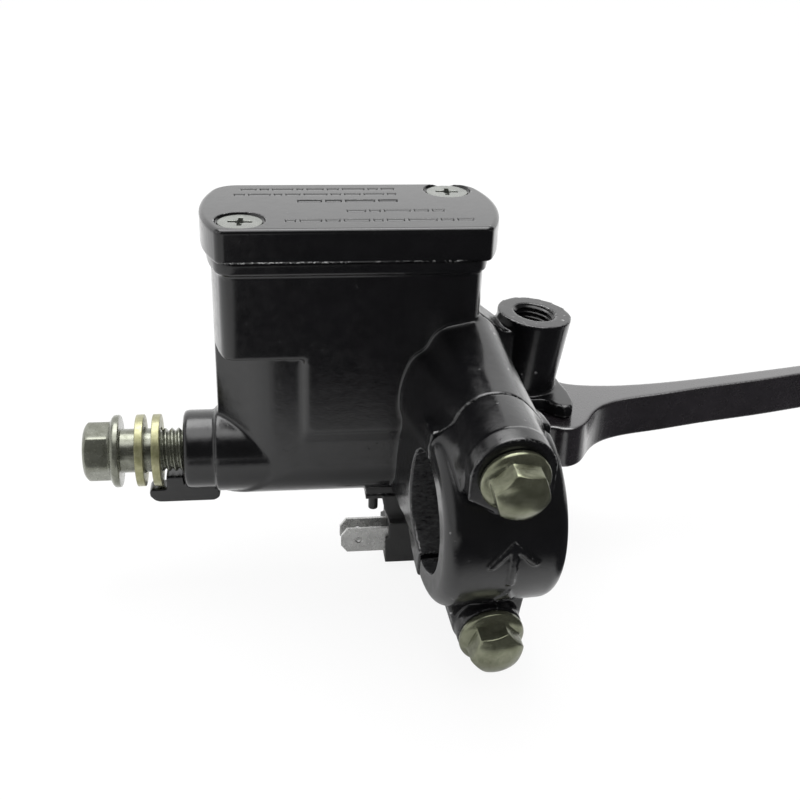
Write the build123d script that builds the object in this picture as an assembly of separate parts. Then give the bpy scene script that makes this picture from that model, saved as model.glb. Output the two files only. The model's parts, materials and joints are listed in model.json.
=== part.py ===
from build123d import *
import math
import os

# Brake master cylinder for a handlebar, in millimetres.
# Modelled in the bore frame: X along the bore towards the lever, Z up, -Y towards
# the rider, origin on the bore axis at the banjo face. The clamp parts use a clamp
# frame of their own. On export everything moves to the handlebar frame: origin on
# the handlebar axis at the clamp, X along the handlebar towards the lever.

# ---- handlebar clamp
BAR_R = 12.7                      # 25.4 mm handlebar
CLAMP_X0, CLAMP_X1 = -12.1, 12.9  # clamp width along the bar
CLAMP_R = 19.6
CLAMP_GAP = 0.7                   # each side of the split plane
CLAMP_CENTRE = (62.4, -34.3, 3.5)
YAW = 5.0                         # bore axis against handlebar axis
TILT = 9.0                        # split plane turned about the bar, top towards the rider
BOLT_OFFSET = 20.9                # clamp bolt distance from the handlebar axis
BOLT_SEAT = 15.8                  # bolt seat, on the rider side of the split plane

# ---- cylinder, lever fork and pivot
BORE_R = 6.35                     # 12.7 mm bore
BARREL_R = 10.4
BARREL_END = 69.0
OUTLET_BOSS_R = 9.0
NECK_R = 9.8
STROKE_ARM = 26.5                 # pivot to bore axis
PIVOT = (81.0, STROKE_ARM)
FORK_HALF_GAP = 5.5
FORK_TOP, FORK_BOTTOM = 8.6, -10.0
LEVER_HALF_H = 5.2
BUSH_R = 5.5

# ---- piston group
PISTON_R = BORE_R - 0.03
PISTON_END = 78.5
PRIMARY_CUP = (31.6, 35.0)        # x from, x to
SECONDARY_CUP = (55.0, 58.5)

# ---- reservoir and cover
RES_Y = (-12.0, 16.0)             # rider side, far side
RES_X = (10.5, 63.4)              # corners
RES_BULGE_X = (7.8, 66.2)         # crowns of the bowed ends
RES_FLOOR, RES_RIM, RES_TOP = 13.5, 46.6, 49.4
RES_WALL = 3.0
DIAPHRAGM_TOP, PLATE_TOP = 50.5, 51.3
COVER_BOTTOM, COVER_TOP = 49.6, 56.9
HEAD_RECESS = COVER_TOP - 0.7     # floor of the screw head counterbore
SCREWS = [(14.4, -7.6), (59.9, 12.4)]   # x, y

# ---- mirror boss
MIRROR_TOP = (82.3, 12.0, 27.3)
MIRROR_LEAN = (0.1, -0.03, 1.0)
MIRROR_BOSS_H = 20.0
MIRROR_HOLE_R = 4.4

# ---- brake light switch
SWITCH_Y0 = -9.4
SWITCH_Z0, SWITCH_Z1 = -27.4, -16.5
SWITCH_SCREW = (59.0, -1.0)       # x, y
SWITCH_PIN = (43.2, -4.0)         # x, y
PLUNGER_AXIS = (9.0, -21.0)       # y, z
PLUNGER_END = 79.0
TERMINAL_Z0, TERMINAL_Z1 = -24.7, -18.4
TERMINAL_T = 0.8
TERMINAL_Y = [-8.2, -3.9]         # rider-side face of each blade

CLAMP_FRAME = Pos(*CLAMP_CENTRE) * Rot(0, 0, YAW) * Rot(TILT, 0, 0)
TO_HANDLEBAR = Rot(0, 0, -YAW) * Pos(*[-c for c in CLAMP_CENTRE])
MIRROR_FRAME = Plane(origin=Vector(*MIRROR_TOP), z_dir=Vector(*MIRROR_LEAN).normalized())

# Stepped outline shared by the saddle and the cap at the split; x, z in the clamp frame
SPLIT = [(-12.0, 14.5), (-11.7, 18.3), (-9.6, 20.4), (-7.7, 22.0), (-6.6, 24.6), (-4.2, 27.0),
         (0.2, 28.3), (4.6, 27.1), (8.0, 24.0), (11.2, 19.4), (12.2, 14.5)]


# ------------------------------------------------------------ shape helpers
def rod_x(radius, x0, x1, y=0.0, z=0.0):
    return Pos((x0 + x1) / 2, y, z) * Rot(0, 90, 0) * Cylinder(radius, x1 - x0)


def rod_z(radius, z0, z1, x=0.0, y=0.0):
    return Pos(x, y, (z0 + z1) / 2) * Cylinder(radius, z1 - z0)


def cone_x(radius0, radius1, x0, x1):
    return Pos((x0 + x1) / 2, 0, 0) * Rot(0, 90, 0) * Cone(radius0, radius1, x1 - x0)


def block(x0, x1, y0, y1, z0, z1):
    centre = Pos((x0 + x1) / 2, (y0 + y1) / 2, (z0 + z1) / 2)
    return centre * Box(x1 - x0, y1 - y0, z1 - z0)


def polygon(points):
    return Polygon(*points, align=None)


def extrude_x(face, x0, x1):
    return extrude(Pos(x0, 0, 0) * (Plane.YZ * face), x1 - x0, dir=(1, 0, 0))


def extrude_y(face, y0, y1):
    return extrude(Pos(0, y0, 0) * (Plane.XZ * face), y1 - y0, dir=(0, 1, 0))


def extrude_z(face, z0, z1):
    return extrude(Pos(0, 0, z0) * face, z1 - z0, dir=(0, 0, 1))


def rod_y(radius, y0, y1, z):
    return extrude_y(Pos(0, z) * Circle(radius), y0, y1)


def soften(part, edges, radius):
    """Fillet the edges, falling back to a smaller radius, then to sharp edges."""
    for r in (radius, radius * 0.6, radius * 0.35):
        try:  # guards against a radius the kernel cannot roll on these edges
            out = fillet(edges, r)
            if out.is_valid and out.volume > 0:
                return out
        except Exception:
            continue
    return part


def soften_at_z(part, z, radius):
    return soften(part, part.edges().filter_by(lambda e: abs(e.center().Z - z) < 0.01), radius)


def soften_rider_face(part, y, radius):
    return soften(part, part.edges().filter_by(lambda e: e.center().Y < y + 0.01), radius)


def cut_at_screws(part, radius, z0, z1):
    for x, y in SCREWS:
        part -= rod_z(radius, z0, z1, x, y)
    return part


def coil_x(pitch, height, radius, wire_r):
    """Spring wound along X, starting at x = 0."""
    helix = Helix(pitch=pitch, height=height, radius=radius)
    section = Plane(origin=helix @ 0, z_dir=helix % 0) * Circle(wire_r)
    return Rot(0, 90, 0) * sweep(section, path=helix)


def bowed_outline(y_span, x_span, bulge_x, rider_radius, far_radius):
    """Rectangle with bowed X ends and rounded corners."""
    (y0, y1), (x0, x1) = y_span, x_span
    middle = (y0 + y1) / 2
    with BuildSketch() as sk:
        with BuildLine():
            Line((x0, y0), (x1, y0))
            ThreePointArc((x1, y0), (bulge_x[1], middle), (x1, y1))
            Line((x1, y1), (x0, y1))
            ThreePointArc((x0, y1), (bulge_x[0], middle), (x0, y0))
        make_face()
        fillet(sk.vertices().group_by(Axis.Y)[0], rider_radius)
        fillet(sk.vertices().group_by(Axis.Y)[-1], far_radius)
    return sk.sketch


def arch_wire(p):
    """Closed wire of 13 points: two legs, a spline over the top, a straight base."""
    return Wire([Edge.make_line(p[0], p[1]), Edge.make_spline(p[1:12]),
                 Edge.make_line(p[11], p[12]), Edge.make_line(p[12], p[0])])


RES_FACE = bowed_outline(RES_Y, RES_X, RES_BULGE_X, 3.6, 5.0)


# ------------------------------------------------------------ body casting
def reservoir_and_barrel():
    body = extrude_z(RES_FACE, 9.5, RES_RIM)
    body += extrude_z(offset(RES_FACE, 0.9), RES_RIM, RES_TOP)
    # web between barrel and reservoir; y, z
    web = [(RES_Y[0], 10.0), (-10.6, 6.8), (-10.3, 0.0), (10.3, 0.0), (10.6, 5.0),
           (RES_Y[1], 11.0)]
    body += extrude_x(polygon(web), 9.0, 63.0)
    body += rod_x(BARREL_R, 8.5, BARREL_END)

    # recessed corner under the reservoir, where the outlet neck comes out
    with BuildSketch() as corner:
        with BuildLine():
            Spline((5.0, 2.2), (7.75, -1.5), (10.7, -3.9), (13.9, -6.4),
                   (16.7, -8.45), (19.3, -9.7), (22.5, -10.25), (26.3, -10.5))
            Polyline((26.3, -10.5), (27.6, -12.1), (27.6, -22.0), (5.0, -22.0), (5.0, 2.2))
        make_face()
    body -= extrude_z(corner.sketch, -14.0, 27.4)
    body += rod_x(NECK_R, 7.2, 24.0)
    boss = rod_x(OUTLET_BOSS_R, 0.0, 9.0)
    rim = boss.edges().filter_by(GeomType.CIRCLE).sort_by(Axis.X)[0]
    return body + soften(boss, rim, 1.1)


def saddle():
    """Arm lofted from the reservoir's rider side to the clamp split."""
    wall_y = -8.0
    wall = [(46.8, -8), (48.2, 12), (48.3, 25.2), (50.0, 27.7), (52.2, 29.3), (53.4, 31.8),
            (55.4, 34.2), (58.6, 35.3), (62.8, 36.1), (66.6, 34.6), (70.2, 28.6),
            (72.0, 20.0), (72.0, -8)]   # x, z
    split = [(SPLIT[0][0], -12)] + SPLIT + [(SPLIT[-1][0], -12)]
    start = [Vector(x, wall_y, z) for x, z in wall]
    end = [(CLAMP_FRAME * Pos(x, CLAMP_GAP, z)).position for x, z in split]
    return Solid.make_loft([arch_wire(start), arch_wire(end)], ruled=True)


def add_fixed_clamp_half(body):
    ring = rod_x(CLAMP_R, CLAMP_X0, CLAMP_X1)
    ring = fillet(ring.edges().filter_by(GeomType.CIRCLE), 1.0)
    lower_ear = [(-10.2, -11), (-7.8, -21), (-6.6, -25.4), (-3.9, -28.1),
                 (3.9, -28.1), (6.9, -25.4), (8.0, -21), (8.2, -11)]   # x, z
    body += saddle()
    body += CLAMP_FRAME * (ring - block(-20, 20, -30, CLAMP_GAP, -30, 30))
    body += CLAMP_FRAME * extrude_y(polygon(lower_ear), CLAMP_GAP, CLAMP_GAP + 9.5)
    body += CLAMP_FRAME * block(SPLIT[0][0], SPLIT[-1][0], CLAMP_GAP, 21.0, -13.0, 12.0)
    return body


def add_fork_and_mirror_boss(body):
    # fork ear outlines; x, y
    upper = [(58, -9.6), (68.0, -9.6), (72.0, -4.0), (75.5, 3.0), (84.2, 3.0), (86.3, 0.2),
             (88.4, -1.1), (90.3, -0.4), (91.1, 2.4), (91.2, 7.0), (90.4, 12.0), (89.2, 26.5),
             (81.0, 34.0), (73.0, 28.5), (68.0, 18.0), (58.0, 14.0)]
    lower = [(58, -8.4), (69.0, -8.4), (70.8, 2.0), (72.3, 14.0), (76.0, 19.5), (89.9, 26.5),
             (81.0, 34.5), (73.0, 28.5), (66.0, 18.0), (58.0, 14.0)]
    ear = extrude_z(polygon(upper), FORK_HALF_GAP, FORK_TOP)
    tip_edges = ear.edges().filter_by(
        lambda e: e.center().Z > FORK_TOP - 0.01 and e.center().X > 84)
    body += soften(ear, tip_edges, 0.5)
    body += rod_z(8.3, FORK_HALF_GAP, FORK_TOP, *PIVOT)
    body += extrude_z(polygon(lower), FORK_BOTTOM, -FORK_HALF_GAP)
    body += rod_z(8.6, FORK_BOTTOM, -FORK_HALF_GAP, *PIVOT)
    body += block(56.0, BARREL_END, -9.0, 14.5, FORK_BOTTOM, 10.0)

    body += MIRROR_FRAME * (Pos(0, 0, -MIRROR_BOSS_H / 2) * Cone(8.0, 8.8, MIRROR_BOSS_H))
    web = [(60.0, 34.0), (66.0, 31.5), (74.0, 25.3), (80.0, 24.4), (80.0, 8.0), (60.0, 8.0)]
    body += extrude_y(polygon(web), 5.5, 14.0)
    return body


def add_underside(body):
    # anti-rotation tab under the outlet; x, z
    tab_y = (-2.2, 2.4)
    tab = [(-8.6, -10.2), (-8.4, -11.3), (-7.4, -12.5), (-5.8, -12.9), (6.2, -12.9),
           (7.4, -12.2), (7.8, -10.8), (6.4, -9.0), (5.0, -8.0), (-4.4, -8.0),
           (-4.4, -9.2), (-8.0, -9.3)]
    body += extrude_y(polygon(tab), *tab_y)
    body += block(-4.5, -0.6, *tab_y, -8.6, -6.1)
    for x in (-3.9, -2.7, -1.5):   # grooves on the rider side
        body -= block(x, x + 0.5, -3.0, -1.6, -8.2, -6.6)

    # switch mounting pad and lug
    body += block(41.2, 48.2, -6.5, 3.0, -10.4, -6.0)
    body += block(55.0, 63.0, -6.0, 4.0, -16.5, -6.0)
    return body


def cut_openings(body):
    cavity = extrude_z(offset(RES_FACE, -RES_WALL), RES_FLOOR, RES_TOP + 1)
    body -= cut_at_screws(cavity, 4.6, RES_FLOOR - 1, RES_TOP + 1)   # leaves screw bosses

    # outlet thread and its chamfer, passage, bore, mouth, snap ring groove
    body -= rod_x(4.95, -1.0, 13.5)
    body -= cone_x(5.5, 4.9, -0.1, 0.7)
    body -= rod_x(2.0, 13.0, 17.0)
    body -= rod_x(BORE_R, 16.0, BARREL_END + 5)
    body -= rod_x(7.0, 65.0, BARREL_END + 5)
    body -= rod_x(7.6, 65.85, 66.95)
    # small and large port in the reservoir floor
    body -= rod_z(0.5, 5.0, RES_FLOOR + 1, 30.4, 0)
    body -= rod_z(2.0, 5.0, RES_FLOOR + 1, 44.0, 0)
    body = cut_at_screws(body, 2.55, 34.0, RES_TOP + 1)

    body -= CLAMP_FRAME * rod_x(BAR_R, -30, 30)
    body -= CLAMP_FRAME * block(-30, 30, -40, CLAMP_GAP, -40, 45)
    for side in (1, -1):
        body -= CLAMP_FRAME * rod_y(3.05, CLAMP_GAP - 0.01, CLAMP_GAP + 13.99,
                                    side * BOLT_OFFSET)
    body -= MIRROR_FRAME * (Pos(0, 0, -7.5) * Cylinder(MIRROR_HOLE_R, 15.2))
    body -= MIRROR_FRAME * (Pos(0, 0, -0.35) * Cone(MIRROR_HOLE_R, MIRROR_HOLE_R + 0.75, 0.72))

    body -= rod_z(4.0, 5.0, 11.0, *PIVOT)
    body -= rod_z(3.1, -11.0, -5.0, *PIVOT)
    body -= rod_z(1.2, -11.0, -8.0, *SWITCH_PIN)
    body -= rod_z(2.05, -17.0, -9.5, *SWITCH_SCREW)
    return body


def cylinder_body():
    body = add_fixed_clamp_half(reservoir_and_barrel())
    body = add_fork_and_mirror_boss(body)
    return cut_openings(add_underside(body))


# ------------------------------------------------------------ reservoir cover and its parts
# Debossed bars in place of lettering: row y, bar height, first x, bar lengths
COVER_MARKS = [
    (13.4, 1.25, 14.5, [3.4, 2.0, 4.6, 1.5, 3.8, 2.6, 5.0, 2.2, 3.0]),
    (9.6, 1.25, 13.0, [2.4, 4.8, 1.8, 3.2, 5.2, 2.2, 3.6, 4.4, 2.0]),
    (4.8, 1.8, 26.5, [5.2, 3.6, 6.4, 4.2]),
    (-2.2, 1.5, 36.5, [4.0, 2.4, 5.6, 3.2, 2.6]),
    (-8.4, 1.5, 23.5, [2.2, 4.6, 3.0, 5.4, 2.0, 3.8, 6.0, 2.8, 3.4]),
]
MARK_SPACE = 0.7


def reservoir_cover():
    face = bowed_outline((-14.1, 17.6), (9.8, 65.2), (5.8, 69.0), 2.2, 6.0)
    cover = extrude_z(face, COVER_BOTTOM, COVER_TOP)
    cover = soften_at_z(cover, COVER_TOP, 0.9)
    cover = soften_at_z(cover, COVER_BOTTOM, 0.6)
    cover -= extrude_z(offset(RES_FACE, -0.3), 49.0, PLATE_TOP)
    cover -= cut_at_screws(extrude_z(offset(RES_FACE, -8.0), 51.0, 54.2), 6.0, 50, 55)
    for x, y in SCREWS:
        cover -= rod_z(2.8, 48.0, 58.5, x, y)
        cover -= rod_z(5.2, HEAD_RECESS, 58.5, x, y)
        cover -= Pos(x, y, HEAD_RECESS - 1.2) * Cone(2.6, 4.75, 2.4)
    for y, height, x, lengths in COVER_MARKS:
        for length in lengths:
            cover -= Pos(x + length / 2, y, COVER_TOP - 0.12) * Box(length, height, 0.56)
            x += length + MARK_SPACE
    return cover


def cover_diaphragm():
    flange = extrude_z(offset(RES_FACE, -0.5), RES_TOP, DIAPHRAGM_TOP)
    bag_outside = extrude_z(offset(RES_FACE, -4.2), 38.0, DIAPHRAGM_TOP)
    bag_inside = extrude_z(offset(RES_FACE, -5.3), 39.1, DIAPHRAGM_TOP + 0.1)
    bag_outside = cut_at_screws(bag_outside, 5.8, 37.0, 51.0)
    bag_inside = cut_at_screws(bag_inside, 6.9, 37.0, 51.0)
    return cut_at_screws((flange + bag_outside) - bag_inside, 2.8, 48.0, 51.0)


def diaphragm_plate():
    plate = extrude_z(offset(RES_FACE, -0.7), DIAPHRAGM_TOP, PLATE_TOP)
    plate -= rod_z(3.0, 50.0, 52.0, 37.0, 2.0)
    return cut_at_screws(plate, 2.8, 50.0, 52.0)


def cover_screw(x, y):
    """Countersunk screw with a cross recess."""
    screw = rod_z(2.45, 37.5, 54.6, x, y)
    screw += Pos(x, y, COVER_TOP - 0.75 - 1.1) * Cone(2.45, 4.6, 2.2)
    screw += rod_z(4.6, COVER_TOP - 0.76, COVER_TOP - 0.35, x, y)
    for angle in (-5, 85):
        screw -= Pos(x, y, COVER_TOP - 0.8) * Rot(0, 0, angle) * Box(5.0, 0.95, 1.6)
    screw -= Pos(x, y, COVER_TOP - 1.3) * Cone(0.5, 1.1, 2.2)
    return screw


# ------------------------------------------------------------ clamp cap and bolts (clamp frame)
def cap_hood():
    """Loft from the stepped outline at the split to the round bolt pad."""
    pad_end = [(-9.2, 13.0), (-8.7, 17.0), (-8.4, 19.6), (-8.3, 22.2), (-7.3, 25.4),
               (-4.7, 28.2), (0.0, 29.6), (4.7, 28.2), (7.4, 25.2), (8.4, 20.6),
               (9.2, 13.0)]   # x, z
    wires = []
    for points, y, base_z in ((SPLIT, CLAMP_GAP - 0.1, 8.0), (pad_end, -12.4, 9.5)):
        closed = [(points[0][0], base_z)] + points + [(points[-1][0], base_z)]
        wires.append(arch_wire([Vector(x, y, z) for x, z in closed]))
    return Solid.make_loft(wires, ruled=True)


def stroke(x0, z0, x1, z1):
    """Straight bar with round ends."""
    width = 1.25
    length = math.hypot(x1 - x0, z1 - z0)
    dx = (x1 - x0) / length * width / 2
    dz = (z1 - z0) / length * width / 2
    bar = polygon([(x0 - dz, z0 + dx), (x0 + dz, z0 - dx), (x1 + dz, z1 - dx),
                   (x1 - dz, z1 + dx)])
    return bar + Pos(x0, z0) * Circle(width / 2) + Pos(x1, z1) * Circle(width / 2)


def raised_arrow():
    """Arrow that points up, and a small triangle under it."""
    arrow = stroke(1.2, 6.4, -3.2, 1.8) + stroke(1.2, 6.4, 5.6, 1.8)
    arrow += stroke(1.2, 6.0, 1.2, -3.4)
    arrow += polygon([(1.5, -5.6), (3.0, -9.6), (-1.2, -9.6)])
    skin = rod_x(CLAMP_R + 0.5, -9, 9) - rod_x(CLAMP_R - 0.4, -10, 10)
    return extrude_y(arrow, -22, -8) & skin


def clamp_cap():
    cap = rod_x(CLAMP_R, CLAMP_X0, CLAMP_X1)
    cap = fillet(cap.edges().filter_by(GeomType.CIRCLE), 3.3)
    cap -= block(-20, 20, -CLAMP_GAP, 30, -30, 30)
    cap += cap_hood()

    pad_r, pad_z = 8.4, 21.4
    upper = polygon([(-pad_r, 16.0), (-pad_r, pad_z), (pad_r, pad_z), (pad_r, 16.0),
                     (0.0, 10.4)]) + Pos(0, pad_z) * Circle(pad_r)
    cap += soften_rider_face(extrude_y(upper, -BOLT_SEAT, 4.0 - BOLT_SEAT), -BOLT_SEAT, 1.3)

    lower_y = -12.6
    lower = polygon([(-10.2, -11.0), (-7.2, -BOLT_OFFSET), (7.3, -BOLT_OFFSET),
                     (8.0, -11.0)]) + Pos(0, -BOLT_OFFSET) * Circle(7.25)
    cap += soften_rider_face(extrude_y(lower, lower_y, -CLAMP_GAP), lower_y, 0.6)
    lower_seat = rod_y(6.9, -BOLT_SEAT, 6.0 - BOLT_SEAT, -BOLT_OFFSET)
    cap += soften_rider_face(lower_seat, -BOLT_SEAT, 0.5)

    cap -= rod_x(BAR_R, -30, 30)
    for side in (1, -1):
        cap -= rod_y(3.3, -19, 1, side * BOLT_OFFSET)
    # chamfers at the ends of the bar hole
    cap -= cone_x(BAR_R + 0.5, BAR_R, CLAMP_X0 - 0.5, CLAMP_X0 + 0.5)
    cap -= cone_x(BAR_R, BAR_R + 0.5, CLAMP_X1 - 0.5, CLAMP_X1 + 0.5)
    cap += raised_arrow()
    return CLAMP_FRAME * cap


def clamp_bolt(z, turn):
    """Flange bolt, shank along +Y into the body, head on the rider side."""
    flange_r = 6.85
    bolt = Cylinder(2.95, BOLT_SEAT + 13.0, align=(Align.CENTER, Align.CENTER, Align.MAX))
    bolt += Pos(0, 0, 0.2) * Cone(6.4, flange_r, 0.4) + Pos(0, 0, 1.0) * Cylinder(flange_r, 1.2)
    bolt += Pos(0, 0, 2.05) * Cone(6.7, 5.6, 0.9)
    head = extrude(Pos(0, 0, 1.2) * Rot(0, 0, turn) * RegularPolygon(5.78, 6), 7.3)
    head &= Cylinder(5.7, 12.0, align=(Align.CENTER, Align.CENTER, Align.MIN))
    head &= Sphere(8.1)
    bolt += head
    return CLAMP_FRAME * (Pos(0, -BOLT_SEAT, z) * Rot(90, 0, 0) * bolt)


# ------------------------------------------------------------ banjo bolt and washers
def banjo_bolt():
    hex_r, hex_turn = 12.0 / math.sqrt(3), 6.0   # 12 mm across flats
    angles = [math.radians(60 * i + hex_turn) for i in range(6)]
    hexagon = polygon([(hex_r * math.cos(a), hex_r * math.sin(a)) for a in angles])
    bolt = extrude_x(hexagon, -22.6, -15.6) & (
        rod_x(6.95, -22.0, -15.6) + cone_x(5.6, 6.95, -22.7, -22.0))
    bolt += rod_x(8.25, -15.7, -14.2)
    bolt += cone_x(6.8, 8.0, -16.55, -15.65)
    bolt += rod_x(5.0, -14.3, -7.0)
    bolt += rod_x(4.45, -7.2, 9.0)

    # thread drawn as separate ridges
    pitch, root_r, crest_r = 1.5, 4.4, 4.87
    x = -6.6
    while x < 8.4:
        bolt += cone_x(root_r, crest_r, x - 0.5, x) + cone_x(crest_r, root_r, x, x + 0.5)
        x += pitch
    bolt -= rod_x(1.8, -9.0, 10.0)
    bolt -= Pos(-8.6, 0, 0) * Cylinder(1.3, 12.0)
    return bolt


def banjo_washer(x0):
    x1 = x0 + 1.8
    return rod_x(8.2, x0, x1) - rod_x(5.25, x0 - 1, x1 + 1)


# ------------------------------------------------------------ lever and pivot
def brake_lever():
    tip_x = 215.0
    with BuildSketch() as outline:
        with BuildLine():
            Spline((85.8, -4.7), (89.3, -5.7), (92.0, -4.2), (95.2, 0.3), (99.3, 5.0),
                   (105.0, 8.0), (115.5, 10.5), (127.5, 13.4), (145.0, 17.0),
                   (157.4, 20.0), (177.0, 24.2), (199.0, 26.6), (tip_x, 26.6))
            Line((tip_x, 26.6), (tip_x, 31.8))
            Spline((tip_x, 31.8), (199.0, 31.6), (177.0, 29.2), (158.7, 25.4),
                   (141.0, 21.7), (123.5, 18.4), (112.6, 17.0), (99.0, 17.1),
                   (92.5, 19.2), (90.4, 25.5))
            Polyline((90.4, 25.5), PIVOT, (77.6, 14.0), (78.7, 4.0), (82.0, -3.7),
                     (85.8, -4.7))
        make_face()
    blade = extrude_z(outline.sketch, -LEVER_HALF_H, LEVER_HALF_H)
    long_edges = blade.edges().filter_by(
        lambda e: e.bounding_box().size.Z < 0.01 and e.bounding_box().size.X > 60)
    lever = soften(blade, long_edges, 1.2) + rod_z(9.2, -LEVER_HALF_H, LEVER_HALF_H, *PIVOT)
    # round nose that pushes the piston, a hair clear of its end
    nose_r = 4.0
    lever += rod_z(nose_r, -LEVER_HALF_H, LEVER_HALF_H, PISTON_END + 0.04 + nose_r, 0.0)
    lever += Pos(218.5, 29.1, 0) * Sphere(7.0)
    lever -= rod_z(BUSH_R, -8, 8, *PIVOT)
    # pin hanging down in front of the switch plunger
    lever += rod_z(2.5, -23.5, -LEVER_HALF_H + 0.5, 81.6, PLUNGER_AXIS[0])
    return lever


def pivot_bush():
    return rod_z(BUSH_R, -LEVER_HALF_H, LEVER_HALF_H, *PIVOT) - rod_z(4.05, -8, 8, *PIVOT)


def pivot_bolt():
    bolt = rod_z(5.4, FORK_TOP, FORK_TOP + 2.4, *PIVOT)
    bolt += rod_z(3.97, -5.45, FORK_TOP + 0.2, *PIVOT)
    bolt += rod_z(2.95, -16.0, -5.0, *PIVOT)
    bolt -= Pos(*PIVOT, FORK_TOP + 2.2) * Rot(0, 0, 35) * Box(14, 1.5, 1.8)
    return bolt


def pivot_nut():
    nut = extrude_z(Pos(*PIVOT) * RegularPolygon(5.77, 6), FORK_BOTTOM - 5.0, FORK_BOTTOM)
    return nut - rod_z(3.0, -16, -9, *PIVOT)


# ------------------------------------------------------------ piston group
def piston():
    part = rod_x(PISTON_R, PRIMARY_CUP[1], 38.0) + rod_x(4.2, 37.5, 53.0)
    part += rod_x(PISTON_R, 52.0, SECONDARY_CUP[0])
    part += rod_x(4.0, 54.5, 59.0)
    part += rod_x(PISTON_R, SECONDARY_CUP[1], 64.9)
    part += rod_x(4.2, 64.5, PISTON_END)
    part += rod_x(2.0, 32.0, 36.0)
    return part - rod_x(1.2, 30.0, 34.0)


def primary_cup():
    cup = rod_x(PISTON_R, *PRIMARY_CUP) - rod_x(2.0, 31.0, 36.0)
    return cup - cone_x(5.6, 3.4, 31.5, 33.1)


def secondary_cup():
    return rod_x(PISTON_R, *SECONDARY_CUP) - rod_x(4.0, 54.0, 59.0)


def spring_seat():
    seat = rod_x(4.6, 30.4, PRIMARY_CUP[0]) + rod_x(2.6, 27.6, 30.6)
    return seat - rod_x(1.2, 27.0, 32.5)


def return_spring():
    return Pos(16.6, 0, 0) * coil_x(pitch=2.2, height=13.2, radius=4.0, wire_r=0.45)


def piston_stop_washer():
    return rod_x(6.9, 65.0, 65.8) - rod_x(4.5, 64, 67)


def snap_ring():
    ring = rod_x(7.5, 65.9, 66.9) - rod_x(5.6, 65, 68)
    return ring - block(65, 68, -1.8, 1.8, -9, 0)


def dust_boot():
    boot = rod_x(6.9, 67.0, BARREL_END) + cone_x(6.4, 5.2, BARREL_END, 70.8)
    return boot - rod_x(4.4, 66, 72)


def port_shield():
    """Bridge over the two ports in the reservoir floor."""
    x0, x1, sheet = 26.0, 48.0, 0.6
    shield = block(x0, x1, -5.0, 5.0, 15.0, 15.0 + sheet)
    shield += block(x0, x0 + sheet, -5.0, 5.0, RES_FLOOR, 15.3)
    shield += block(x1 - sheet, x1, -5.0, 5.0, RES_FLOOR, 15.3)
    return shield - rod_z(0.9, 14, 17, (x0 + x1) / 2, 0.0)


# ------------------------------------------------------------ brake light switch
def switch_housing():
    housing = block(45.8, 72.0, SWITCH_Y0, 2.6, SWITCH_Z0, SWITCH_Z1)
    housing += block(57.0, 72.0, 2.0, 12.6, SWITCH_Z0 + 1.0, SWITCH_Z1 - 1.0)
    housing -= block(44.0, 46.5, SWITCH_Y0 - 1, 4.0, -20.6, SWITCH_Z1 + 1)
    neck = [(45.0, -10.4), (48.2, -10.4), (49.4, -12.8), (50.9, -16.6), (46.6, -16.6),
            (45.6, -14.2)]   # x, z
    housing += extrude_y(polygon(neck), -7.0, 1.0)
    housing += block(41.2, 48.2, -6.5, 1.0, -11.3, -10.4)
    housing += rod_z(1.15, -15.2, -8.4, *SWITCH_PIN)
    for y in TERMINAL_Y:
        housing -= block(44.0, 53.0, y, y + TERMINAL_T, TERMINAL_Z0, TERMINAL_Z1)
    housing -= rod_x(2.05, 60.0, 73.0, *PLUNGER_AXIS)
    housing -= rod_z(2.2, -30.0, -16.0, *SWITCH_SCREW)
    return housing


def switch_terminal(y):
    blade = [(35.4, -20.3), (36.8, TERMINAL_Z1), (53.0, TERMINAL_Z1), (53.0, TERMINAL_Z0),
             (36.8, TERMINAL_Z0), (35.4, -22.9)]   # x, z
    terminal = extrude_y(polygon(blade), y, y + TERMINAL_T)
    hole = Pos(39.6, y + TERMINAL_T / 2, -21.5) * Rot(90, 0, 0) * Cylinder(0.85, 3.0)
    return terminal - hole


def switch_plunger():
    plunger = rod_x(2.0, 69.0, 78.6, *PLUNGER_AXIS) + rod_x(1.2, 67.8, 69.5, *PLUNGER_AXIS)
    end_edge = plunger.edges().filter_by(GeomType.CIRCLE).sort_by(Axis.X)[-1]
    plunger = soften(plunger, end_edge, 0.8)
    return plunger + rod_x(1.0, 78.0, PLUNGER_END, *PLUNGER_AXIS)


def switch_spring():
    return Pos(60.4, *PLUNGER_AXIS) * coil_x(pitch=1.4, height=7.0, radius=1.45, wire_r=0.25)


def switch_screw():
    head_z = SWITCH_Z0 - 2.2
    screw = rod_z(3.5, head_z, SWITCH_Z0, *SWITCH_SCREW)
    screw += rod_z(1.95, SWITCH_Z0 - 0.5, -10.2, *SWITCH_SCREW)
    screw -= Pos(*SWITCH_SCREW, head_z) * (Box(4.2, 0.9, 2.4) + Box(0.9, 4.2, 2.4))
    return screw


# ------------------------------------------------------------ export in the handlebar frame
SINGLE_PIECES = [
    cylinder_body, reservoir_cover, cover_diaphragm, diaphragm_plate, clamp_cap, banjo_bolt,
    brake_lever, pivot_bush, pivot_bolt, pivot_nut, piston, primary_cup, secondary_cup,
    spring_seat, return_spring, piston_stop_washer, snap_ring, dust_boot, port_shield,
    switch_housing, switch_plunger, switch_spring, switch_screw,
]
nodes = {build.__name__: [build()] for build in SINGLE_PIECES}
nodes["cover_screws"] = [cover_screw(x, y) for x, y in SCREWS]
nodes["clamp_bolts"] = [clamp_bolt(BOLT_OFFSET, 47.0), clamp_bolt(-BOLT_OFFSET, 12.0)]
nodes["banjo_washers"] = [banjo_washer(-10.6), banjo_washer(-6.9)]
nodes["switch_terminals"] = [switch_terminal(y) for y in TERMINAL_Y]

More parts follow.
